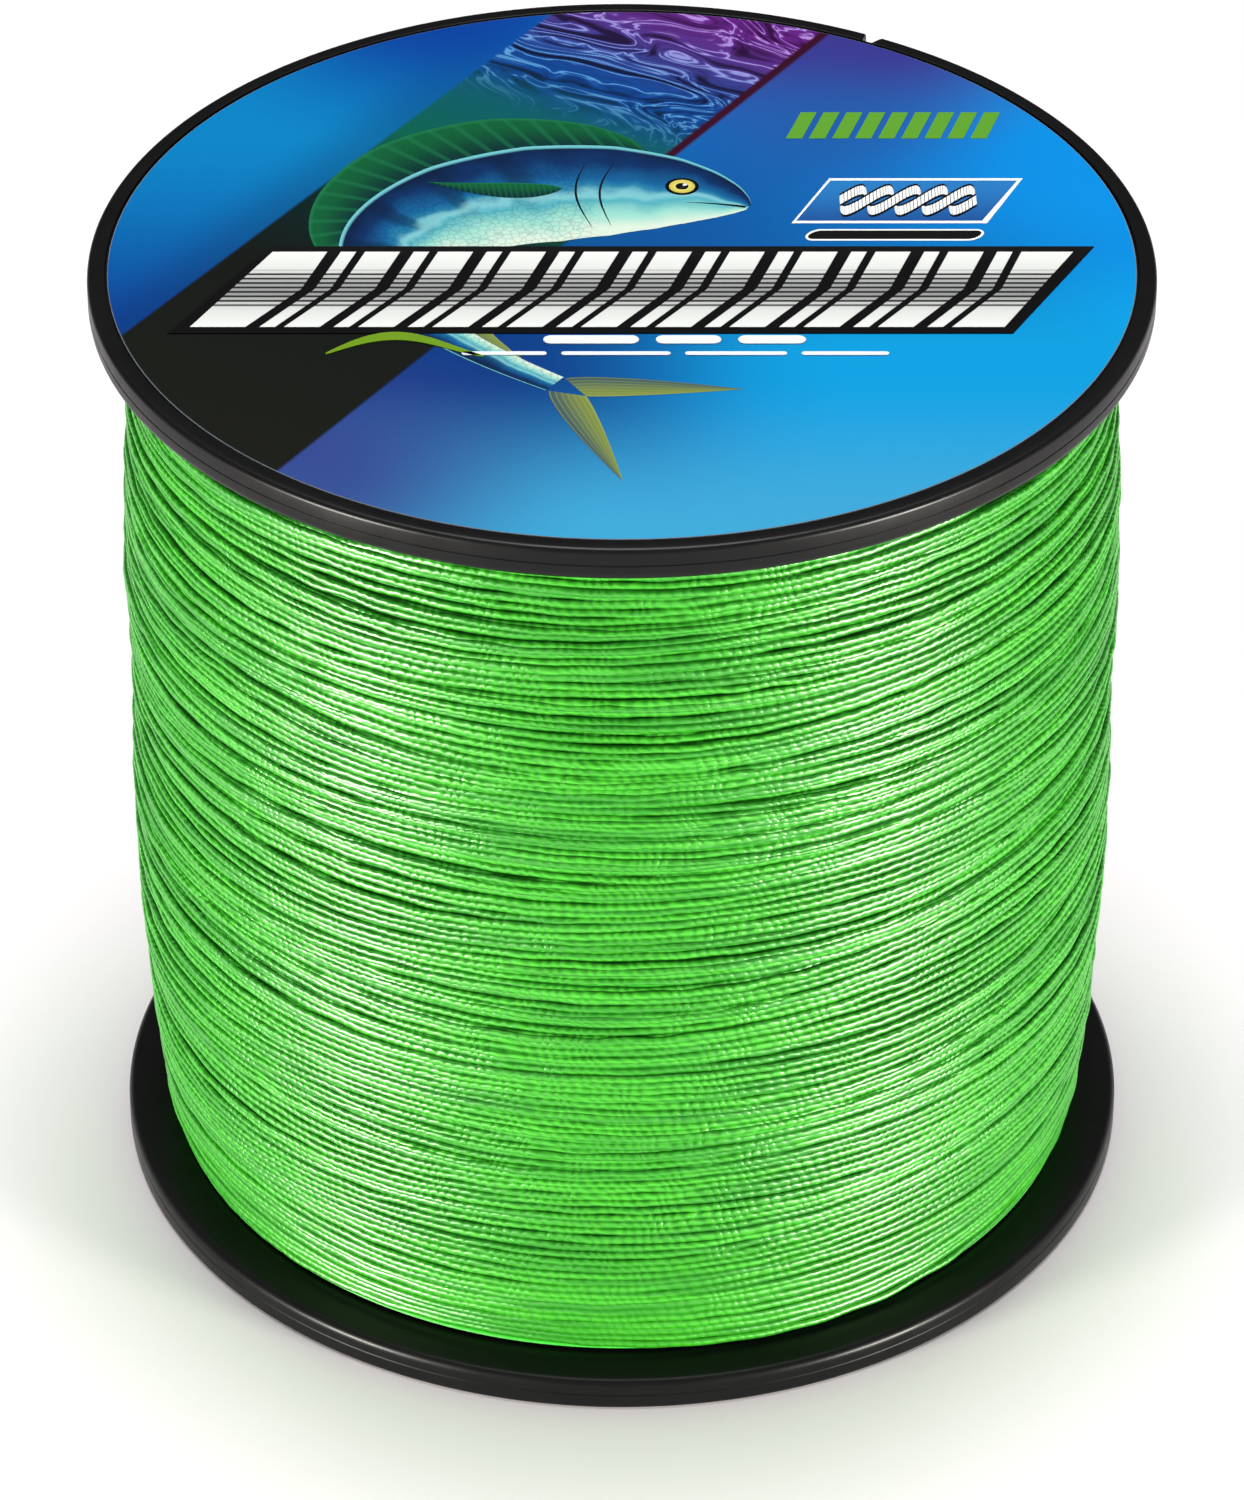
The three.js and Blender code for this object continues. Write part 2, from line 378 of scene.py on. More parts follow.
@dataclass(frozen=True)
class PrintedGround(Finish):
    """The disc's printed ground: a blue fade, violet corners and a slanted marbled panel."""

    name: str = "printed_ground"
    across: Triple = (0.844, -0.537, 0.0)
    upwards: Triple = (0.537, 0.844, 0.0)
    left: float = -28.3
    right: float = -5.45
    edge: float = 0.22
    clouds: Sequence[tuple[Triple, float, float, float, Colour]] = (
        ((-16.0, 44.0, 0.0), 27.0, 4.0, 1.0, ink(0, 62, 150)),
        ((20.0, 40.0, 0.0), 26.0, 6.0, 1.0, ink(54, 50, 134)),
        ((18.0, 22.0, 0.0), 18.0, 0.0, 0.8, ink(26, 84, 158)),
        ((-26.0, -34.0, 0.0), 25.0, 3.0, 0.9, ink(62, 72, 158)),
    )
    panel_fade: Sequence[tuple[float, Colour]] = (
        (0.0, ink(20, 22, 16)),
        (0.3, ink(14, 18, 14)),
        (0.44, ink(2, 34, 34)),
        (0.6, ink(2, 92, 74)),
        (0.74, ink(4, 84, 104)),
        (0.86, ink(12, 40, 112)),
        (1.0, ink(58, 20, 104)),
    )

    def write(self, recipe: Recipe) -> None:
        """Writes the ground, and lays the panel on it with a soft shadow at its left.

        Args:
            recipe: The material being written.
        """
        x, y, _ = recipe.split(recipe.place)
        flat = recipe.join(x, y, 0.0)
        across = recipe.along(flat, self.across)
        upwards = recipe.along(flat, self.upwards)
        beside = recipe.smooth(across, self.left - 7.0, self.left)
        shade = recipe.times(beside, recipe.smooth(upwards, 30.0, 8.0))
        tone = recipe.tint(self.fade(recipe, flat, x, y), shade, 0.35, ink(4, 22, 60))
        inside = recipe.times(
            recipe.smooth(across, self.left - self.edge, self.left + self.edge),
            recipe.smooth(across, self.right + self.edge, self.right - self.edge),
        )
        tone = recipe.mix(inside, tone, self.panel(recipe, across, upwards))
        peel = recipe.noise(0.9, 2)
        dents = recipe.bump(recipe.noise(0.35, 1), 0.05, recipe.bump(peel, 0.03))
        recipe.set(Base_Color=recipe.printed(tone), Roughness=0.5, Specular_IOR_Level=0.05)
        recipe.set(Normal=recipe.bump(peel, 0.012), Coat_Normal=dents)
        recipe.set(Coat_Weight=0.03, Coat_Roughness=0.35)

    def fade(self, recipe: Recipe, flat: NodeSocket, x: NodeSocket, y: NodeSocket) -> NodeSocket:
        """The blue fade outside the panel.

        Args:
            recipe: The material being written.
            flat: The place on the disc.
            x: Its first part.
            y: Its second part.

        Returns:
            The colour.
        """
        right = recipe.mix(recipe.smooth(x, 0.0, 42.0), ink(10, 96, 180), ink(0, 138, 218))
        bright = recipe.times(recipe.smooth(y, 4.0, -16.0), recipe.smooth(x, -12.0, 20.0))
        right = recipe.mix(bright, right, ink(0, 184, 255))
        left = recipe.mix(recipe.smooth(y, -12.0, 22.0), ink(0, 66, 148), ink(0, 124, 186))
        tone = recipe.mix(recipe.smooth(x, -12.0, 12.0), left, right)
        tone = recipe.mix(recipe.smooth(y, -18.0, -42.0), tone, ink(72, 194, 246))
        for centre, rim, core, amount, colour in self.clouds:
            share = recipe.smooth(recipe.distance(flat, centre), rim, core)
            tone = recipe.tint(tone, share, amount, colour)
        return tone

    def panel(self, recipe: Recipe, across: NodeSocket, upwards: NodeSocket) -> NodeSocket:
        """The slanted panel: near black at its foot, green in the middle, marbled at its head.

        Args:
            recipe: The material being written.
            across: The place across the panel.
            upwards: The place along it.

        Returns:
            The colour.
        """
        rise = recipe.scaled(upwards, 1 / 82, 0.5)
        folded = recipe.join(recipe.times(across, 0.04), recipe.times(upwards, 0.085), 0.0)
        curl = recipe.noise(1.0, 2, folded)
        curl = recipe.join(recipe.times(curl, 3.2), curl, 0.0)
        bent = recipe.node("VectorMath", {0: folded, 1: curl}, operation="ADD")
        crest = recipe.math("SUBTRACT", recipe.noise(2.4, 3, bent, 1.9), 0.5)
        crest = recipe.math("ABSOLUTE", crest)
        head = recipe.smooth(rise, 0.8, 1.0)
        glow = recipe.mix(head, ink(10, 66, 140), ink(96, 30, 124))
        dark = recipe.mix(head, ink(2, 20, 52), ink(44, 6, 58))
        pale = recipe.mix(recipe.smooth(rise, 0.8, 0.98), ink(84, 150, 204), ink(172, 134, 214))
        marble = recipe.mix(recipe.smooth(crest, 0.16, 0.03), dark, glow)
        marble = recipe.mix(recipe.smooth(crest, 0.03, 0.002), marble, pale)
        tone = recipe.mix(recipe.smooth(rise, 0.7, 0.8), recipe.ramp(rise, self.panel_fade), marble)
        rim = recipe.smooth(across, self.right - 1.1, self.right - 0.7)
        rim = recipe.times(rim, recipe.smooth(rise, 0.6, 0.72))
        return recipe.mix(rim, tone, ink(52, 6, 34))


@dataclass(frozen=True)
class FlatInk(Finish):
    """One printed colour that fades a little from end to end, under the same film."""

    low: Colour
    high: Colour
    direction: Triple = (0.0, 1.0, 0.0)
    start: float = -1.0
    end: float = 1.0

    def write(self, recipe: Recipe) -> None:
        """Writes the fade.

        Args:
            recipe: The material being written.
        """
        share = recipe.smooth(recipe.along(recipe.place, self.direction), self.start, self.end)
        tone = recipe.mix(share, self.low, self.high)
        recipe.film(recipe.tint(tone, recipe.noise(6.0, 2), 0.12, self.low))


@dataclass(frozen=True)
class SilverInk(Finish):
    """Pale silver print with fine dark speed lines along its middle."""

    name: str = "silver_speed_lines"
    bottom: float = -11.2
    top: float = 1.0
    row: float = 0.72
    fade: Sequence[tuple[float, Colour]] = (
        (0.0, ink(236, 238, 234)),
        (0.24, ink(216, 218, 214)),
        (0.42, ink(150, 152, 150)),
        (0.58, ink(158, 160, 158)),
        (0.76, ink(222, 224, 220)),
        (1.0, ink(238, 240, 236)),
    )

    def write(self, recipe: Recipe) -> None:
        """Writes the silver and its lines.

        Args:
            recipe: The material being written.
        """
        _, y, _ = recipe.split(recipe.place)
        rise = recipe.math("DIVIDE", recipe.math("SUBTRACT", y, self.bottom), self.top - self.bottom)
        rows = recipe.smooth(recipe.math("SINE", recipe.times(y, TAU / self.row)), -0.1, 0.5)
        band = recipe.times(recipe.smooth(rise, 0.22, 0.3), recipe.smooth(rise, 0.78, 0.7))
        tone = recipe.ramp(rise, self.fade)
        recipe.film(recipe.tint(tone, recipe.times(rows, band), 0.95, ink(14, 14, 16)))


@dataclass(frozen=True)
class FishSkin(Finish):
    """A fish's painted side: pale belly, cyan flank, dark back, faint bars and small scales."""

    name: str = "painted_fish_skin"
    fade: Sequence[tuple[float, Colour]] = (
        (0.04, ink(214, 232, 214)),
        (0.24, ink(150, 214, 200)),
        (0.42, ink(58, 160, 178)),
        (0.62, ink(18, 96, 150)),
        (0.82, ink(8, 46, 96)),
        (1.0, ink(6, 24, 56)),
    )

    def write(self, recipe: Recipe) -> None:
        """Writes the skin from the belly up.

        Args:
            recipe: The material being written.
        """
        u, v = recipe.uv
        sway = recipe.scaled(recipe.noise(0.25, 3), 0.3, -0.15)
        height = recipe.math("ADD", v, sway)
        tone = recipe.ramp(height, self.fade)
        bars = recipe.math("SINE", recipe.scaled(u, 62.0, recipe.times(sway, 9.0)))
        bars = recipe.times(recipe.smooth(bars, 0.1, 0.9), recipe.smooth(v, 0.3, 0.62))
        bars = recipe.times(bars, recipe.smooth(u, 0.22, 0.34))
        tone = recipe.tint(tone, bars, 0.55, ink(5, 28, 58))
        cells = {"Vector": recipe.place, "Scale": 1.5}
        cells = recipe.node("TexVoronoi", cells, feature="DISTANCE_TO_EDGE")
        scales = recipe.times(recipe.smooth(cells, 0.12, 0.0), recipe.smooth(u, 0.2, 0.26))
        tone = recipe.tint(tone, scales, 0.3, ink(4, 40, 70))
        gleam = recipe.math("ABSOLUTE", recipe.math("SUBTRACT", height, 0.47))
        tone = recipe.tint(tone, recipe.smooth(gleam, 0.09, 0.0), 0.4, ink(176, 240, 236))
        recipe.film(recipe.mix(recipe.smooth(v, 0.955, 0.985), tone, ink(110, 190, 200)))


@dataclass(frozen=True)
class FinInk(Finish):
    """A fin: a fade from root to edge with fine rays."""

    root: Colour
    tip: Colour
    ray: Colour
    rays: float = 150.0
    lengthwise: bool = False

    def write(self, recipe: Recipe) -> None:
        """Writes the fade and the rays.

        Args:
            recipe: The material being written.
        """
        u, v = recipe.uv
        tone = recipe.mix(recipe.smooth(v, 0.0, 0.9), self.root, self.tip)
        count = recipe.times(v if self.lengthwise else u, self.rays)
        tone = recipe.tint(tone, recipe.smooth(recipe.math("SINE", count), 0.4, 1.0), 0.4, self.ray)
        recipe.film(recipe.tint(tone, recipe.smooth(v, 0.9, 0.97), 0.6, self.ray))


@dataclass(frozen=True)
class PlainPaper(Finish):
    """Off-white sticker paper with a faint fibre."""

    name: str = "sticker_paper"

    def write(self, recipe: Recipe) -> None:
        """Writes the paper.

        Args:
            recipe: The material being written.
        """
        fibre = recipe.noise(3.0, 5)
        tone = recipe.mix(recipe.smooth(fibre, 0.35, 0.65), ink(236, 236, 230), ink(224, 223, 216))
        recipe.set(Base_Color=tone, Roughness=0.55, Normal=recipe.bump(fibre, 0.01))


@dataclass(frozen=True)
class TapeFilm(Finish):
    """Cream tape film with lengthwise creases."""

    name: str = "tape_film"

    def write(self, recipe: Recipe) -> None:
        """Writes the film.

        Args:
            recipe: The material being written.
        """
        x, _, z = recipe.split(recipe.place)
        crease = recipe.noise(1.3, 3, recipe.join(recipe.times(x, 0.3), 0.0, z))
        tone = recipe.mix(crease, ink(228, 222, 198), ink(208, 200, 172))
        recipe.set(Base_Color=tone, Roughness=0.32, Normal=recipe.bump(crease, 0.08))
        recipe.set(Coat_Weight=0.2, Coat_Roughness=0.1)


@dataclass(frozen=True)
class PaleFloor(Finish):
    """A plain pale sweep."""

    name: str = "pale_floor"

    def write(self, recipe: Recipe) -> None:
        """Writes the plain tone."""
        recipe.set(Base_Color=(0.70, 0.668, 0.70, 1.0), Roughness=0.9, Specular_IOR_Level=0.1)


def link(made: Object) -> Object:
    """Puts an object in the scene."""
    bpy.context.scene.collection.objects.link(made)
    return made


def redress(node: str, finish: Material) -> None:
    """Gives one of the frame's own nodes, which other pieces hide, a new finish."""
    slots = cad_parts[node].data.materials
    slots.clear()
    slots.append(finish)


def new_verts(result: dict) -> list[BMVert]:
    """The vertices that an operator made."""
    return [item for item in result["geom"] if isinstance(item, BMVert)]


def raised(bm: BMesh, faces: list, height: float) -> list[BMVert]:
    """Extrudes flat faces upwards.

    Args:
        bm: The mesh.
        faces: The faces.
        height: How far up they go.

    Returns:
        The raised vertices.
    """
    lifted = new_verts(bmesh.ops.extrude_face_region(bm, geom=faces, use_keep_orig=True))
    bmesh.ops.translate(bm, vec=(0.0, 0.0, height), verts=lifted)
    return lifted


def soften(bm: BMesh, geom: list, size: float, segments: int, affect: str = "EDGES") -> None:
    """Rounds edges or corners."""
    clamp = affect == "VERTICES"
    shape = {"offset": size, "segments": segments, "profile": 0.5, "material": -1}
    bmesh.ops.bevel(bm, geom=geom, affect=affect, clamp_overlap=clamp, **shape)


def sweep(bm: BMesh, geom: list, degrees: float, steps: int, rise: float = 0.0) -> list:
    """Sweeps edges about the Z axis.

    Args:
        bm: The mesh.
        geom: The vertices and edges to sweep.
        degrees: How far round.
        steps: In how many steps.
        rise: How far up in all.

    Returns:
        The last section's geometry.
    """
    climb = (0.0, 0.0, rise / steps)
    turn = math.radians(degrees)
    swept = bmesh.ops.spin(bm, geom=geom, cent=(0, 0, 0), axis=(0, 0, 1), dvec=climb, angle=turn, steps=steps)
    return swept["geom_last"]


def slab(bm: BMesh, outline: Shape, low: float, high: float, material: int = 0) -> None:
    """Adds a thin flat plate with the given outline.

    Args:
        bm: The mesh to add to.
        outline: The corners, in order.
        low: The height of its underside.
        high: The height of its face.
        material: Its material's index.
    """
    face = bm.faces.new([bm.verts.new((x, y, low)) for x, y in outline])
    face.material_index = material
    for vert in raised(bm, [face], high - low):
        for part in vert.link_faces:
            part.material_index = material


class Workshop:
    """Finishes the pieces, and keeps their names."""

    made: list[str] = []

    @classmethod
    def piece(
        cls,
        name: str,
        bm: BMesh,
        materials: Sequence[Material],
        slot: Slot,
        stands_for: Sequence[str] = (),
        crease: float = 40.0,
        closed: bool = False,
    ) -> Object:
        """Turns a mesh in millimetres into a finished piece that rides on the part.

        Args:
            name: The piece's name.
            bm: Its mesh, which is used up.
            materials: Its materials, in the order of the mesh's indices.
            slot: The record's material slot; not used.
            stands_for: The frame's nodes that it replaces.
            crease: The angle, in degrees, above which an edge stays sharp.
            closed: Whether its doubles are merged and its faces turned outwards already.

        Returns:
            The new object.
        """
        if not closed:
            bmesh.ops.remove_doubles(bm, verts=bm.verts[:], dist=1e-4)
            bmesh.ops.recalc_face_normals(bm, faces=bm.faces[:])
        bmesh.ops.scale(bm, vec=(MM, MM, MM), verts=bm.verts[:])
        for face in bm.faces:
            face.smooth = True
        mesh = bpy.data.meshes.new(name)
        bm.to_mesh(mesh)
        bm.free()
        mesh.set_sharp_from_angle(angle=math.radians(crease))
        for material in materials:
            mesh.materials.append(material)
        made = link(bpy.data.objects.new(name, mesh))
        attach(made, BODY)
        if stands_for:
            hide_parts(*stands_for)
        cls.made.append(name)
        LOG.info("%s: %d faces", name, len(mesh.polygons))
        return made


@dataclass
class Flange:
    """One moulded flange: web, beaded rim with a line notch, sticker seat, cup, boss, ribs and clips."""

    seat: Seat
    plastic: Material
    radius: float = FLANGE_RADIUS
    thickness: float = RIM_THICKNESS
    seat_radius: float = 43.5
    seat_depth: float = 0.3
    web_radius: float = 42.6
    cup_radius: float = 18.9
    cup_depth: float = 6.5
    cup_floor: float = 1.5
    wall: float = 1.8
    boss_radius: float = 9.0
    boss_depth: float = 12.0
    bore_radius: float = 6.5
    ribs: int = 6
    clips: int = 4
    notch_angle: float = 60.0
    notch_width: float = 1.3
    notch_depth: float = 1.5
    notch_corner: float = 0.22
    steps: int = 248
    notch_steps: int = 72
    notch_sweep: float = 8.0

    def outline(self) -> Outline:
        """The section, with its inner face at height 0 and its seat facing up."""
        seat = self.thickness - self.seat_depth
        floor = self.cup_floor - self.cup_depth
        inner = self.cup_radius - self.wall
        return [
            (self.bore_radius, -self.boss_depth, 0.3),
            (self.boss_radius, -self.boss_depth, 0.3),
            (self.boss_radius, -self.cup_depth, 0.0),
            (self.cup_radius, -self.cup_depth, 0.5),
            (self.cup_radius, 0.0, 0.0),
            (30.0, 0.0, 0.0),
            (self.web_radius, 0.0, 0.0),
            (self.radius, 0.0, 0.8),
            (self.radius, 1.42, 0.0),
            (self.radius - 0.05, 1.5, 0.0),
            (self.radius, 1.58, 0.0),
            (self.radius, self.thickness, 0.45),
            (self.seat_radius, self.thickness, 0.1),
            (self.seat_radius, seat, 0.05),
            (30.0, seat, 0.0),
            (inner, seat, 0.3),
            (inner, floor, 0.3),
            (self.boss_radius, floor, 0.0),
            (self.boss_radius, seat, 0.3),
            (self.bore_radius, seat, 0.3),
        ]

    def section(self) -> BMesh:
        """Draws the outline's edges in the XZ plane, with its corners rounded."""
        outline = self.outline()
        bm = bmesh.new()
        corners = [bm.verts.new((radius, 0.0, height)) for radius, height, _ in outline]
        bm.faces.new(corners)
        for size in sorted({corner for *_, corner in outline if corner > 0}):
            chosen = [vert for vert, (*_, corner) in zip(corners, outline) if corner == size]
            soften(bm, chosen, size, 5, "VERTICES")
        bmesh.ops.delete(bm, geom=bm.faces[:], context="FACES_ONLY")
        return bm

    def dress(self) -> None:
        """Makes the moulding in place and finishes it."""
        bm = self.section()
        start = math.radians(self.notch_angle + self.notch_sweep / 2)
        bmesh.ops.rotate(bm, matrix=Matrix.Rotation(start, 3, "Z"), verts=bm.verts[:])
        last = sweep(bm, bm.verts[:] + bm.edges[:], 360 - self.notch_sweep, self.steps)
        sweep(bm, last, self.notch_sweep, self.notch_steps)
        bmesh.ops.remove_doubles(bm, verts=bm.verts[:], dist=WELD)
        self.cut_notch(bm)
        self.add_ribs(bm)
        self.add_clips(bm)
        up = self.seat is Seat.UP
        if not up:
            bmesh.ops.rotate(bm, matrix=Matrix.Rotation(math.pi, 3, "Y"), verts=bm.verts[:])
        bmesh.ops.translate(bm, vec=(0.0, 0.0, UPPER_FACE if up else LOWER_FACE), verts=bm.verts[:])
        side = self.seat.value
        nodes = [f"{side}_flange"]
        Workshop.piece(f"{side}_rim_moulding", bm, [self.plastic], Slot.PLASTIC, nodes, crease=28)

    def cut_notch(self, bm: BMesh) -> None:
        """Draws the rim in where the line is parked.

        Args:
            bm: The moulding's mesh.
        """
        floor = self.radius - self.notch_depth
        reach = self.notch_width / 2 + self.notch_corner
        for vert in bm.verts:
            radius = vert.co.xy.length
            if radius > floor:
                turn = math.atan2(vert.co.y, vert.co.x) - math.radians(self.notch_angle)
                share = (reach - abs(turn) * self.radius) / (2 * self.notch_corner)
                share = min(1.0, max(0.0, share))
                share = share * share * (3 - 2 * share) * 0.985
                vert.co.xy *= (floor + (radius - floor) * (1 - share)) / radius

    def add_ribs(self, bm: BMesh) -> None:
        """Adds the ribs between the boss and the cup's wall.

        Args:
            bm: The moulding's mesh.
        """
        low = self.cup_floor / 2 - self.cup_depth
        high = self.thickness - self.seat_depth - 0.6
        length = self.cup_radius - self.boss_radius - self.wall / 2
        middle = self.boss_radius - self.wall / 4 + length / 2
        for index in range(self.ribs):
            block(bm, (length, 1.6, high - low), middle, index * 360 / self.ribs, (low + high) / 2)

    def add_clips(self, bm: BMesh) -> None:
        """Adds the clips that hold the barrel."""
        for index in range(self.clips):
            block(bm, (2.4, 5.0, 1.4), self.cup_radius + 0.3, 45 + index * 360 / self.clips, -3.5)


def block(bm: BMesh, size: Triple, reach: float, degrees: float, height: float) -> None:
    """Adds a soft-edged block.

    Args:
        bm: The mesh to add to.
        size: Its length, width and height.
        reach: How far from the axis its middle is.
        degrees: Its direction.
        height: Its middle's height.
    """
    turn = Matrix.Rotation(math.radians(degrees), 4, "Z")
    matrix = turn @ Matrix.Translation((reach, 0.0, height)) @ Matrix.Diagonal((*size, 1.0))
    cube = bmesh.ops.create_cube(bm, size=1.0, matrix=matrix)
    soften(bm, list({edge for vert in cube["verts"] for edge in vert.link_edges}), 0.15, 2)


def drift(seed: int, slow: float, fast: float, travel: np.ndarray) -> np.ndarray:
    """Smooth wandering along the wound line, the same at every run.

    Args:
        seed: Which wandering it is.
        slow: Its slowest rate, in waves for each turn.
        fast: Its fastest rate.
        travel: The place along the line, in turns.

    Returns:
        Values of about -1 to 1.
    """
    waves = 24
    draw = np.random.default_rng(seed)
    rates = draw.uniform(slow, fast, waves)
    phases = draw.uniform(0.0, TAU, waves)
    total = np.zeros_like(travel)
    for rate, phase in zip(rates, phases):
        total += np.sin(travel * rate * TAU + phase)
    return total / math.sqrt(waves)


@dataclass(frozen=True)
class Run:
    """Some turns of the wound line: their numbers, rise and place, their wander, and their tucked ends."""

    name: str
    first: int
    turns: int
    pitch: float
    start: float
    lift: float
    seed: int
    ends: Sequence[int]


@dataclass
class Winding:
    """The wound line: a core and its outer turns, laid as one flattened helical braid."""

    line: Material
    below: Material
    bands: Sequence[str] = ("low_turns", "middle_turns", "high_turns")
    turns_in_band: int = 36
    arc_steps: int = 64
    sides: int = 8
    half_width: float = 0.395
    half_height: float = 0.36
    core_inset: float = 0.5
    tuck: float = 0.95
    tuck_length: float = 0.03
    bore: float = 21.7
    profile: Shape = (
        (0.0, 41.2),
        (0.05, 41.7),
        (0.14, 42.3),
        (0.26, 42.7),
        (0.36, 43.0),
        (0.46, 42.85),
        (0.56, 42.6),
        (0.68, 42.85),
        (0.76, 42.6),
        (0.86, 42.2),
        (0.95, 41.6),
        (1.0, 41.3),
    )

    def reach(self, height: np.ndarray) -> np.ndarray:
        """The outer radius of the winding.

        Args:
            height: Heights above the floor.

        Returns:
            The radius at each height.
        """
        fine = np.linspace(0.0, 1.0, 401)
        rough = np.pad(np.interp(fine, *zip(*self.profile)), 16, mode="edge")
        kernel = np.hanning(33)
        even = np.convolve(rough, kernel / kernel.sum(), mode="valid")
        return np.interp((height - PACK_BOTTOM) / (PACK_TOP - PACK_BOTTOM), fine, even)

    def core(self) -> None:
        """Makes the wound mass under the outer turns."""
        heights = np.linspace(PACK_BOTTOM, PACK_TOP, 60)
        radii = self.reach(heights) - self.core_inset
        bm = bmesh.new()
        points = [(self.bore, PACK_BOTTOM), *zip(radii, heights), (self.bore, PACK_TOP)]
        bm.faces.new([bm.verts.new((float(r), 0.0, float(z))) for r, z in points])
        bmesh.ops.delete(bm, geom=bm.faces[:], context="FACES_ONLY")
        sweep(bm, bm.verts[:] + bm.edges[:], 360.0, 180)
        bmesh.ops.remove_doubles(bm, verts=bm.verts[:], dist=WELD)
        Workshop.piece("wound_core", bm, [self.below], Slot.LINE, ["line_pack"])

    def helix(self, run: Run) -> BMesh:
        """A plain helical tube about the axis, which the lay then shapes.

        Args:
            run: The turns to make.

        Returns:
            The mesh, with the turn and the place round the section on each vertex.
        """
        bm = bmesh.new()
        turn = bm.verts.layers.float.new("turn")
        side = bm.verts.layers.float.new("side")
        upright = Matrix.Rotation(math.pi / 2, 4, "X")
        bmesh.ops.create_circle(bm, cap_ends=False, segments=self.sides, radius=1.0, matrix=upright)
        for vert in bm.verts:
            vert[turn] = run.first
            around = math.atan2(vert.co.z, vert.co.x) / TAU
            vert[side] = around if around < 0.5 - 1e-6 else -0.5
            vert.co.x = REST_RADIUS + vert.co.x * self.half_height
            vert.co.z = vert.co.z * self.half_width + run.start + run.first * run.pitch
        sweep(bm, bm.verts[:] + bm.edges[:], 90.0, self.arc_steps, run.pitch / 4)
        quarter = bm.verts[:] + bm.edges[:] + bm.faces[:]
        for index in range(1, 4):
            fresh = new_verts(bmesh.ops.duplicate(bm, geom=quarter))
            bmesh.ops.rotate(bm, matrix=Matrix.Rotation(index * math.pi / 2, 3, "Z"), verts=fresh)
            bmesh.ops.translate(bm, vec=(0.0, 0.0, index * run.pitch / 4), verts=fresh)
        whole = bm.verts[:] + bm.edges[:] + bm.faces[:]
        for index in range(1, run.turns):
            fresh = new_verts(bmesh.ops.duplicate(bm, geom=whole))
            bmesh.ops.translate(bm, vec=(0.0, 0.0, index * run.pitch), verts=fresh)
            for vert in fresh:
                vert[turn] = run.first + index
        bmesh.ops.remove_doubles(bm, verts=bm.verts[:], dist=WELD)
        bmesh.ops.holes_fill(bm, edges=[edge for edge in bm.edges if edge.is_boundary], sides=0)
        bmesh.ops.recalc_face_normals(bm, faces=bm.faces[:])
        return bm

    def lay(self, mesh: Mesh, run: Run) -> None:
        """Lays a plain helix on the winding, with the wander of real turns.

        Args:
            mesh: The helix.
            run: Its turns.
        """
        count = len(mesh.vertices)
        packed = np.zeros(count * 3, np.float32)
        mesh.vertices.foreach_get("co", packed)
        place = packed.reshape(-1, 3).astype(float) / MM
        turn = np.zeros(count, np.float32)
        mesh.attributes["turn"].data.foreach_get("value", turn)
        angle = np.arctan2(place[:, 1], place[:, 0])
        angle = np.where(angle < -1e-6, angle + TAU, angle)
        off = place[:, 2] - run.start - run.pitch * (turn + angle / TAU)
        slip = np.abs(off) > abs(run.pitch) * 0.6 + self.half_width
        travel = turn + np.where(slip, np.sign(off) * np.sign(run.pitch), 0.0) + angle / TAU
        centre = run.start + run.pitch * travel
        off = place[:, 2] - centre
        out = np.hypot(place[:, 0], place[:, 1]) - REST_RADIUS
        flat = np.clip(1.0 + 0.12 * drift(run.seed + 1, 0.7, 7.3, travel), 0.72, 1.45)
        sway = 0.04 * drift(run.seed + 2, 1.3, 9.7, travel) + 0.045 * drift(run.seed + 3, 24.3, 57.7, travel)
        sway += 0.35 * np.sin(2 * angle + 0.21 * centre) + 0.22 * np.sin(5 * angle - 0.47 * centre)
        swell = drift(run.seed + 4, 0.6, 6.1, travel) + drift(run.seed + 5, 24.7, 61.3, travel)
        height = np.clip(centre + sway, PACK_BOTTOM + self.half_width, PACK_TOP - self.half_width)
        groups = 0.11 * drift(7, 0.18, 0.5, height)
        groups += 0.07 * drift(8, 0.02, 0.12, height + 3.0 * np.sin(angle) + 2.0 * np.cos(2 * angle))
        tucked = sum(np.exp(-(((travel - end) / self.tuck_length) ** 2)) for end in run.ends)
        radius = self.reach(height) - self.half_height + groups + 0.035 * swell + run.lift
        radius += out / flat - self.tuck * tucked
        laid = np.stack((radius * np.cos(angle), radius * np.sin(angle), height + off * flat), axis=1)
        mesh.vertices.foreach_set("co", (laid * MM).astype(np.float32).ravel())
        mesh.update()

    def dress(self) -> None:
        """Makes the core, the outer turns in bands, and the turns that ride across them."""
        self.core()
        last = len(self.bands) * self.turns_in_band
        start = PACK_BOTTOM + self.half_width
        runs = [
            Run("rising_turns", 0, 22, 2.15, 22.0, 0.2, 50, (0, 22)),
            Run("falling_turns", 0, 18, -1.7, 83.0, 0.2, 60, (0, 18)),
        ]
        for band, name in reversed(list(enumerate(self.bands))):
            first = band * self.turns_in_band
            ends = [end for end in (first, first + self.turns_in_band) if end in (0, last)]
            runs.insert(0, Run(name, first, self.turns_in_band, LINE_PITCH, start, 0.0, 20, ends))
        for run in runs:
            bm = self.helix(run)
            piece = Workshop.piece(run.name, bm, [self.line], Slot.LINE, crease=180, closed=True)
            self.lay(piece.data, run)


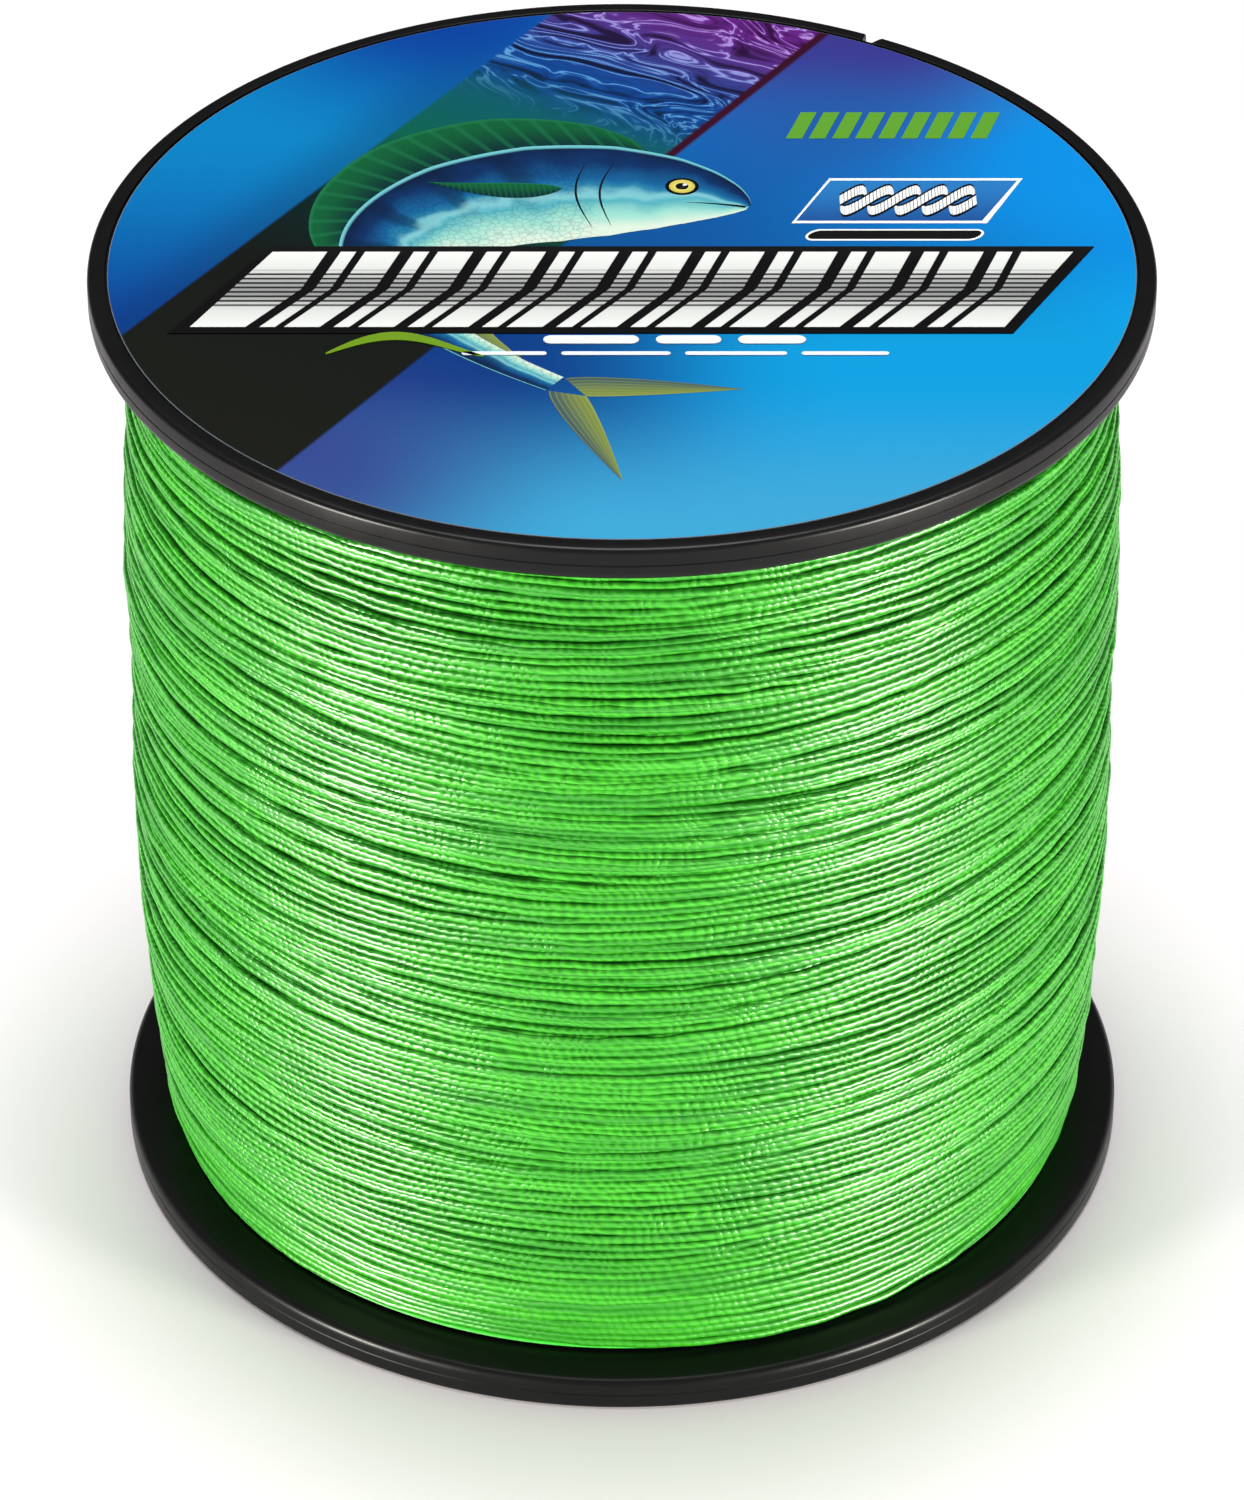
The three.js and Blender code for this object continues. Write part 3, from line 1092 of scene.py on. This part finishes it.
@dataclass
class Label:
    """The printed disc: a thin disc with a soft cut edge, which carries the print."""

    ground: Material
    edge: Material
    radius: float = 43.3
    thickness: float = 0.2
    bevel: float = 0.07

    def dress(self) -> None:
        """Makes and finishes the disc."""
        bm = bmesh.new()
        matrix = Matrix.Translation((0.0, 0.0, LABEL_TOP - self.thickness))
        bmesh.ops.create_circle(bm, cap_ends=True, segments=256, radius=self.radius, matrix=matrix)
        lifted = set(raised(bm, bm.faces[:], self.thickness))
        soften(bm, [edge for edge in bm.edges if lifted.issuperset(edge.verts)], self.bevel, 3)
        top = max(bm.faces, key=lambda face: face.calc_center_median().z * (len(face.verts) > 8))
        bmesh.ops.inset_region(bm, faces=[top], thickness=0.4, use_even_offset=True)
        for face in bm.faces:
            wall = face.calc_center_median().xy.length > self.radius - self.bevel * 1.1
            face.material_index = int(wall and len(face.verts) < 8)
        Workshop.piece("printed_disc", bm, [self.ground, self.edge], Slot.PRINT, ["top_label"], crease=60)


@dataclass
class FishPrint:
    """A plain leaping fish, bent like a bow, that the banner crosses."""

    inks: Sequence[Material]
    nose: tuple[float, float] = (10.8, 8.6)
    brow: tuple[float, float] = (-7.0, 18.0)
    bow: tuple[float, float] = (-38.0, 3.0)
    stem: tuple[float, float] = (-5.5, -20.0)
    widths: Shape = (
        (0.0, 0.5),
        (0.012, 1.6),
        (0.035, 3.0),
        (0.07, 4.5),
        (0.12, 6.1),
        (0.2, 7.6),
        (0.3, 8.2),
        (0.42, 7.6),
        (0.58, 5.4),
        (0.74, 3.1),
        (0.88, 1.8),
        (1.0, 1.25),
    )

    def spine(self, share: float) -> tuple[Vector, Vector]:
        """The fish's middle line.

        Args:
            share: How far from the nose to the tail, from 0 to 1.

        Returns:
            The point, and the direction of the fish's back there.
        """
        a, b, c, d = (Vector(p) for p in (self.nose, self.brow, self.bow, self.stem))
        t, s = share, 1 - share
        point = a * s**3 + b * 3 * s * s * t + c * 3 * s * t * t + d * t**3
        run = (b - a) * 3 * s * s + (c - b) * 6 * s * t + (d - c) * 3 * t * t
        return point, Vector((run.y, -run.x)).normalized()

    def spot(self, share: float, out: float, on: float = 0.0, step: float = 0.02) -> Vector:
        """A place on or beside the fish.

        Args:
            share: The place along the middle line.
            out: How far from it, towards the back.
            on: How far from it, along the line.
            step: The step along the line that gives its direction there.

        Returns:
            The place on the disc.
        """
        point, back = self.spine(share)
        return point + back * out + (self.spine(share + step)[0] - point).normalized() * on

    def width(self, share: float) -> float:
        """Half the body's depth at a place along it."""
        return float(np.interp(share, *zip(*self.widths)))

    def sail(self, u: float, v: float) -> Vector:
        """A place on the back fin."""
        share, rise = 0.15 + 0.62 * u, 7.2 * math.sin(math.pi * min(1.0, u * 1.15 + 0.06)) ** 0.6
        return self.spot(share, self.width(share) - 0.6 + rise * (1 - 0.35 * u) * v, 2.2 * v)

    def keel(self, u: float, v: float) -> Vector:
        """A place on the belly fin."""
        share, rise = 0.74 + 0.2 * u, 3.4 * (1 - u) ** 0.8 * min(1.0, 6 * u + 0.25)
        return self.spot(share, 0.4 - self.width(share) - rise * v, 3.0 * v)

    def body(self, u: float, v: float) -> Vector:
        """A place on the body."""
        return self.spot(u, self.width(u) * (2 * v - 1))

    def paddle(self, u: float, v: float) -> Vector:
        """A place on the side fin."""
        out = 0.6 + 3.4 * u * u + 2.6 * math.sin(math.pi * u**0.7) * (v - 0.5)
        return self.spot(0.27, out, 11.5 * u, 0.06)

    def lobe(self, u: float, v: float, sign: float = 1.0) -> Vector:
        """A place on a lobe of the tail.

        Args:
            u: The share of the way to the lobe's tip.
            v: The share of the way from its front edge to its rear one.
            sign: 1 for the lobe on the back's side, -1 for the other.

        Returns:
            The place on the disc.
        """
        edges = (1.15 + 7.4 * u**0.85, 8.55 * u**1.5), (0.2 + 12.9 * u**1.1, 3.2 + 9.9 * u**1.35)
        out, on = (front * (1 - v) + rear * v for front, rear in edges)
        return self.spot(1.0, sign * out, -on, -0.03)

    def gill(self, u: float, v: float, at: float = 0.2) -> Vector:
        """A place on a stroke that edges the gill cover."""
        bend = 0.018 * math.sin(math.pi * u) + 0.0035 * (v - 0.5) * math.sin(math.pi * (0.08 + 0.84 * u))
        return self.spot(at + bend, self.width(at) * (1.35 * u - 0.78))

    def mouth(self, u: float, v: float) -> Vector:
        """A place on the mouth's line."""
        return self.spot(0.004 + 0.085 * u, 0.32 * (v - 0.5) * (1.1 - u) - 0.1 - 1.1 * u)

    def patch(self, bm: BMesh, spot: Spot, across: int, up: int, level: float, material: int) -> None:
        """Adds a thin curved patch.

        Args:
            bm: The mesh to add to.
            spot: Gives the place on the disc for each pair of shares.
            across: How many faces along it.
            up: How many faces up it.
            level: How high its face stands on the disc.
            material: Its material's index.
        """
        before = len(bm.faces)
        made = bmesh.ops.create_grid(bm, x_segments=across, y_segments=up, size=0.5, calc_uvs=True)
        for vert in made["verts"]:
            vert.co = (*spot(vert.co.x + 0.5, vert.co.y + 0.5), LABEL_TOP + level)
        fresh = bm.faces[before:]
        for face in fresh:
            face.material_index = material
            face.normal_update()
        if sum(face.normal.z for face in fresh) < 0:
            bmesh.ops.reverse_faces(bm, faces=fresh)

    def eye(self, bm: BMesh) -> None:
        """Adds the eye: a dark ring, a golden iris, a pupil and a glint.

        Args:
            bm: The mesh to add to.
        """
        middle = self.spot(0.105, 1.35)
        rings = ((1.45, 0.045, 3, 0.0), (1.12, 0.055, 4, 0.0), (0.55, 0.065, 3, 0.0), (0.2, 0.075, 5, 0.25))
        for radius, level, material, shift in rings:
            turns = [step * TAU / 28 for step in range(28)]
            x, y = middle.x + shift, middle.y + shift
            rim = [(x + radius * math.cos(turn), y + radius * math.sin(turn)) for turn in turns]
            slab(bm, rim, LABEL_TOP + 0.01, LABEL_TOP + level, material)

    def dress(self) -> None:
        """Makes the fish from its fins up to its eye, and finishes it."""
        bm = bmesh.new()
        bm.loops.layers.uv.new("UVMap")
        for spot, across, up, level, material in (
            (self.sail, 60, 6, 0.015, 1),
            (self.keel, 20, 4, 0.015, 2),
            (self.lobe, 26, 5, 0.018, 2),
            (lambda u, v: self.lobe(u, v, -1.0), 26, 5, 0.021, 2),
            (self.body, 96, 18, 0.03, 0),
            (self.paddle, 20, 5, 0.045, 1),
            (self.gill, 24, 1, 0.04, 3),
            (lambda u, v: self.gill(u, v, 0.235), 24, 1, 0.042, 3),
            (self.mouth, 16, 1, 0.044, 3),
        ):
            self.patch(bm, spot, across, up, level, material)
        self.eye(bm)
        bmesh.ops.remove_doubles(bm, verts=bm.verts[:], dist=1e-5)
        Workshop.piece("printed_fish", bm, self.inks, Slot.PRINT, crease=180, closed=True)


@dataclass
class BannerPrint:
    """The slanted silver banner with its black outline and slits."""

    inks: Sequence[Material]
    bottom: float = -11.2
    top: float = 1.0
    left: float = -35.8
    right: float = 31.7
    slant: float = 0.52
    outline: float = 0.95
    bend: float = 1.2
    first: float = -31.2
    pitch: float = 6.15
    repeats: int = 10

    def corner(self, along: float, height: float) -> tuple[float, float]:
        """A point of the banner, which leans to the right as it rises."""
        return along + (height - self.bottom) * self.slant, height

    def side(self, at: float, bend: float) -> Shape:
        """One side of a block, from foot to head, pointed to the right by the bend."""
        stops = ((at, self.bottom), (at + bend, (self.bottom + self.top) / 2), (at, self.top))
        return [self.corner(*stop) for stop in stops]

    def dress(self) -> None:
        """Makes the outline plate and the silver blocks on it, and finishes them."""
        bm = bmesh.new()
        edge = self.outline
        low, high = self.bottom - edge, self.top + edge
        left, right = self.left, self.right
        feet = self.corner(left - edge * 1.4, low), self.corner(right + edge * 1.2, low)
        heads = self.corner(right + edge * 1.4, high), self.corner(left - edge * 0.8, high)
        slab(bm, (*feet, *heads), LABEL_TOP + 0.01, LABEL_TOP + 0.09, 1)
        starts = [self.first + index * self.pitch for index in range(self.repeats)]
        slits = [slit for at in starts for slit in ((at, at + 1.15), (at + 2.45, at + 3.2))]
        blocks = list(zip([left, *(end for _, end in slits)], [*(start for start, _ in slits), right]))
        for index, (start, end) in enumerate(blocks):
            near = self.side(start, self.bend if index else 0.0)
            far = self.side(end, self.bend if index < len(blocks) - 1 else 0.0)
            slab(bm, [near[0], *far, near[2], near[1]], LABEL_TOP + 0.08, LABEL_TOP + 0.115, 0)
        Workshop.piece("printed_banner", bm, self.inks, Slot.PRINT, crease=30, closed=True)


@dataclass
class SmallPrint:
    """The small marks: lime gauge bars, white rules, a plait badge and a lime swash."""

    inks: Sequence[Material]
    rule_level: float = 0.1
    over: float = 0.075
    under: float = 0.055
    plait_turns: float = 2.5
    plait_steps: int = 72

    def rounded(self, x0: float, y0: float, x1: float, y1: float, lean: float = 0.0) -> Shape:
        """The outline of a bar with round ends.

        Args:
            x0: Its left end.
            y0: Its foot.
            x1: Its right end.
            y1: Its head.
            lean: How far the head is shifted to the right.

        Returns:
            The outline's points.
        """
        half = (y1 - y0) / 2
        points = []
        for centre, first in ((x1 - half, -90), (x0 + half, 90)):
            for step in range(13):
                turn = math.radians(first + step * 15)
                rise = math.sin(turn)
                points.append((centre + half * math.cos(turn) + lean * rise, (y0 + y1) / 2 + half * rise))
        return points

    def plait(self, bm: BMesh) -> None:
        """Adds the badge: a leaning plate with a pale rim, a two-strand plait on it and a bar below.

        Args:
            bm: The mesh to add to.
        """
        for inset, level, material in ((0.0, 0.03, 1), (0.4, 0.045, 2)):
            y0, y1 = 5.9 + inset, 13.5 - inset
            feet = (14.4 + inset, y0), (31.0 - inset, y0)
            heads = (34.4 - inset * 1.2, y1), (17.8 + inset * 0.2, y1)
            slab(bm, (*feet, *heads), PRINT_FOOT, LABEL_TOP + level, material)
        for inset, level, material in ((0.0, 0.03, 1), (0.25, 0.045, 3)):
            bar = self.rounded(15.6 + inset, 3.0 + inset, 30.6 - inset, 4.9 - inset, 0.4)
            slab(bm, bar, PRINT_FOOT, LABEL_TOP + level, material)
        bends = TAU * self.plait_turns
        strands = [(index, flip) for index in range(self.plait_steps) for flip in (1, -1)]
        for index, flip in strands:
            start, end = index / self.plait_steps, (index + 1.2) / self.plait_steps
            lift = self.over if flip * math.cos(start * bends) > 0 else self.under
            for half, rise, material in ((1.05, 0.0, 3), (0.72, 0.006, 1)):
                outline = []
                for share, sign in ((start, -1), (end, -1), (end, 1), (start, 1)):
                    height = flip * 1.75 * math.sin(share * bends)
                    outline.append((18.6 + 11.6 * share + 0.45 * height, 9.7 + height + sign * half))
                slab(bm, outline, LABEL_TOP + 0.03, LABEL_TOP + lift + rise, material)

    def swash(self, bm: BMesh) -> None:
        """Adds the lime swash, thin at both ends.

        Args:
            bm: The mesh to add to.
        """
        upper, lower = [], []
        for step in range(33):
            share = step / 32
            x = -24.4 + 13.0 * share
            y = -15.4 + 2.3 * math.sin(TAU * 0.62 * share) + 1.2 * share
            half = 0.1 + 0.55 * math.sin(math.pi * share) ** 0.8
            upper.append((x - 0.2 * half, y + half))
            lower.append((x + 0.2 * half, y - half))
        slab(bm, lower + upper[::-1], PRINT_FOOT, LABEL_TOP + self.rule_level, 0)

    def dress(self) -> None:
        """Makes every mark and finishes them as a piece."""
        bm = bmesh.new()
        for x in (14.2 + index * 2.0 for index in range(9)):
            bar = [(x, 20.4), (x + 1.4, 20.4), (x + 2.8, 25.0), (x + 1.4, 25.0)]
            slab(bm, bar, PRINT_FOOT, LABEL_TOP + 0.03, 0)
        thick = [(x0, -13.8, x1, -12.5) for x0, x1 in ((-6.5, 1.4), (2.8, 8.2), (9.6, 15.2))]
        ends = ((-13.2, -6.2), (-5.0, 4.0), (5.2, 13.6), (14.8, 22.0))
        for box in thick + [(x0, -15.6, x1, -15.05) for x0, x1 in ends]:
            slab(bm, self.rounded(*box), PRINT_FOOT, LABEL_TOP + self.rule_level, 1)
        self.plait(bm)
        self.swash(bm)
        Workshop.piece("printed_marks", bm, self.inks, Slot.PRINT, crease=30, closed=True)


@dataclass
class SpecSticker:
    """The plain sticker under the lower flange, with a printed frame."""

    inks: Sequence[Material]
    width: float = 32.0
    depth: float = 13.0
    corner: float = 1.5
    centre: tuple[float, float] = (0.0, -31.0)
    layers: Sequence[Triple] = ((0.0, 0.1, 0.25), (1.0, 0.09, 0.15), (1.25, 0.08, 0.15))

    def outline(self, inset: float) -> Shape:
        """The rounded outline, drawn in by a distance.

        Args:
            inset: The distance.

        Returns:
            The outline's points.
        """
        points = []
        size = max(0.2, self.corner - inset)
        reach = inset + size
        for quarter, (sx, sy) in enumerate(((1, 1), (-1, 1), (-1, -1), (1, -1))):
            x = self.centre[0] + sx * (self.width / 2 - reach)
            y = self.centre[1] + sy * (self.depth / 2 - reach)
            turns = [math.radians(quarter * 90 + step * 15) for step in range(7)]
            points += [(x + size * math.cos(turn), y + size * math.sin(turn)) for turn in turns]
        return points

    def dress(self) -> None:
        """Makes the paper, its dark frame and the paper inside it, and finishes them."""
        bm = bmesh.new()
        for (inset, low, high), material in zip(self.layers, (0, 1, 0)):
            slab(bm, self.outline(inset), low, high, material)
        Workshop.piece("blank_sticker", bm, self.inks, Slot.PAPER, ["spec_sticker"], crease=30)


@dataclass
class EndTape:
    """The strip that holds the line's running end against the winding."""

    film: Material
    radius: float = 43.33
    thickness: float = 0.16
    angle: float = 96.0
    arc: float = 26.0
    low: float = 33.0
    width: float = 9.0
    teeth: int = 12
    columns: int = 52

    def dress(self) -> None:
        """Makes and finishes the strip, with the toothed ends of a tape cutter."""
        bm = bmesh.new()
        bmesh.ops.create_grid(bm, x_segments=self.columns, y_segments=self.teeth * 2, size=0.5)
        for vert in bm.verts:
            along, up = vert.co.x, vert.co.y + 0.5
            tooth = abs((up * self.teeth) % 1.0 - 0.5)
            trim = 1.0 - 0.028 * tooth if abs(along) > 0.49 else 1.0
            turn = math.radians(self.angle + self.arc * along * trim)
            wave = 0.035 * math.sin(up * 23.0) + 0.03 * math.sin(along * 31.0 + up * 5.0)
            radius = self.radius + wave
            vert.co = (radius * math.cos(turn), radius * math.sin(turn), self.low + self.width * up)
        bmesh.ops.recalc_face_normals(bm, faces=bm.faces[:])
        bmesh.ops.solidify(bm, geom=bm.faces[:], thickness=self.thickness)
        Workshop.piece("end_strip", bm, [self.film], Slot.TAPE, ["end_tape"], crease=50)


@dataclass(frozen=True)
class Softbox:
    """A rectangular light that faces the spool: watts, metres, and degrees from the camera's side."""

    name: str
    power: float
    size: tuple[float, float]
    azimuth: float
    elevation: float
    distance: float
    colour: Triple = (1.0, 1.0, 1.0)
    aim: float = 0.045

    def hang(self) -> None:
        """Adds the light."""
        light = bpy.data.lights.new(self.name, "AREA")
        light.color = self.colour
        light.shape = "RECTANGLE"
        light.size, light.size_y = self.size
        light.energy = self.power
        turn, tilt = math.radians(self.azimuth), math.radians(self.elevation)
        away = Vector((math.sin(turn) * math.cos(tilt), -math.cos(turn) * math.cos(tilt), math.sin(tilt)))
        lamp = link(bpy.data.objects.new(self.name, light))
        lamp.location = Vector((0.0, 0.0, self.aim)) + away * self.distance
        lamp.rotation_euler = (-away).to_track_quat("-Z", "Y").to_euler()


@dataclass
class Studio:
    """A pale floor, two overhead softboxes, two low ones at the sides and the camera, in metres."""

    floor: Material
    span: float = 3.0
    world: float = 0.08
    lens: float = 160.93
    pitch: float = 34.84
    camera_at: Triple = (0.0, -0.48713, 0.37703)
    warm: Triple = (1.0, 0.98, 0.88)

    def lay_floor(self) -> None:
        """Adds the floor."""
        bm = bmesh.new()
        bmesh.ops.create_grid(bm, x_segments=2, y_segments=2, size=self.span / 2)
        mesh = bpy.data.meshes.new("floor")
        bm.to_mesh(mesh)
        bm.free()
        mesh.materials.append(self.floor)
        link(bpy.data.objects.new("floor", mesh))

    def hang_lights(self) -> None:
        """Adds the world's glow and the softboxes."""
        world = bpy.data.worlds.new("soft_white")
        world.use_nodes = True
        glow = world.node_tree.nodes["Background"].inputs
        glow["Color"].default_value = (1.0, 1.0, 1.0, 1.0)
        glow["Strength"].default_value = self.world
        bpy.context.scene.world = world
        Softbox("overhead", 10.4, (0.42, 0.42), 180, 84.5, 0.9).hang()
        Softbox("canopy", 1.8, (0.9, 0.9), 180, 72, 0.9).hang()
        for name, azimuth in (("left_strip", -54.5), ("right_strip", 54.5)):
            Softbox(name, 10.8, (0.13, 0.088), azimuth, 0, 0.6, self.warm).hang()

    def build(self) -> None:
        """Sets up the floor, the lights and the camera."""
        self.lay_floor()
        self.hang_lights()
        camera = bpy.data.cameras.new("view")
        camera.lens = self.lens
        camera.sensor_width = 36.0
        camera.clip_start = 0.01
        eye = link(bpy.data.objects.new("view", camera))
        eye.location = self.camera_at
        eye.rotation_euler = (math.radians(90 - self.pitch), 0.0, 0.0)
        bpy.context.scene.camera = eye
        bpy.context.scene.view_settings.view_transform = "Standard"


INKS = (
    FlatInk("black_ink", ink(8, 8, 10), ink(16, 16, 18)),
    FlatInk("lime_ink", ink(112, 150, 30), ink(92, 158, 48), (1.0, 0.0, 0.0), -26.0, 20.0),
    FlatInk("white_ink", ink(236, 242, 246), ink(250, 252, 252)),
    FlatInk("badge_ink", ink(24, 60, 132), ink(40, 122, 190), (0.0, 1.0, 0.0), 3.0, 13.0),
    FlatInk("gold_ink", ink(224, 208, 60), ink(236, 224, 110), (1.0, 0.0, 0.0), 0.0, 4.0),
    FlatInk("cut_edge", ink(120, 126, 132), ink(140, 146, 150)),
)
FINS = (
    FinInk("sail_fin", ink(4, 44, 48), ink(12, 92, 52), ink(28, 118, 74)),
    FinInk("tail_fin", ink(64, 88, 92), ink(122, 138, 66), ink(150, 164, 92), 40.0, True),
)


def main() -> None:
    """Builds the spool round the frame, then the studio, and reports each piece."""
    logging.basicConfig(level=logging.INFO, format="%(name)s %(message)s")
    plastic = MouldedPlastic().make()
    black, lime, white, badge, gold, edge = (colour.make() for colour in INKS)
    fins = [fin.make() for fin in FINS]
    tape = TapeFilm().make()

    for seat in Seat:
        Flange(seat, plastic).dress()
    redress("barrel", plastic)
    redress("anchor_tape", tape)
    Winding(BraidFinish().make(), DeepLine().make()).dress()
    Label(PrintedGround().make(), edge).dress()
    FishPrint([FishSkin().make(), *fins, black, gold, white]).dress()
    BannerPrint([SilverInk().make(), black]).dress()
    SmallPrint([lime, white, badge, black]).dress()
    SpecSticker([PlainPaper().make(), black]).dress()
    EndTape(tape).dress()
    Studio(PaleFloor().make()).build()

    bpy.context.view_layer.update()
    LOG.info("%d pieces: %s", len(Workshop.made), ", ".join(Workshop.made))


if __name__ == "__main__":
    main()
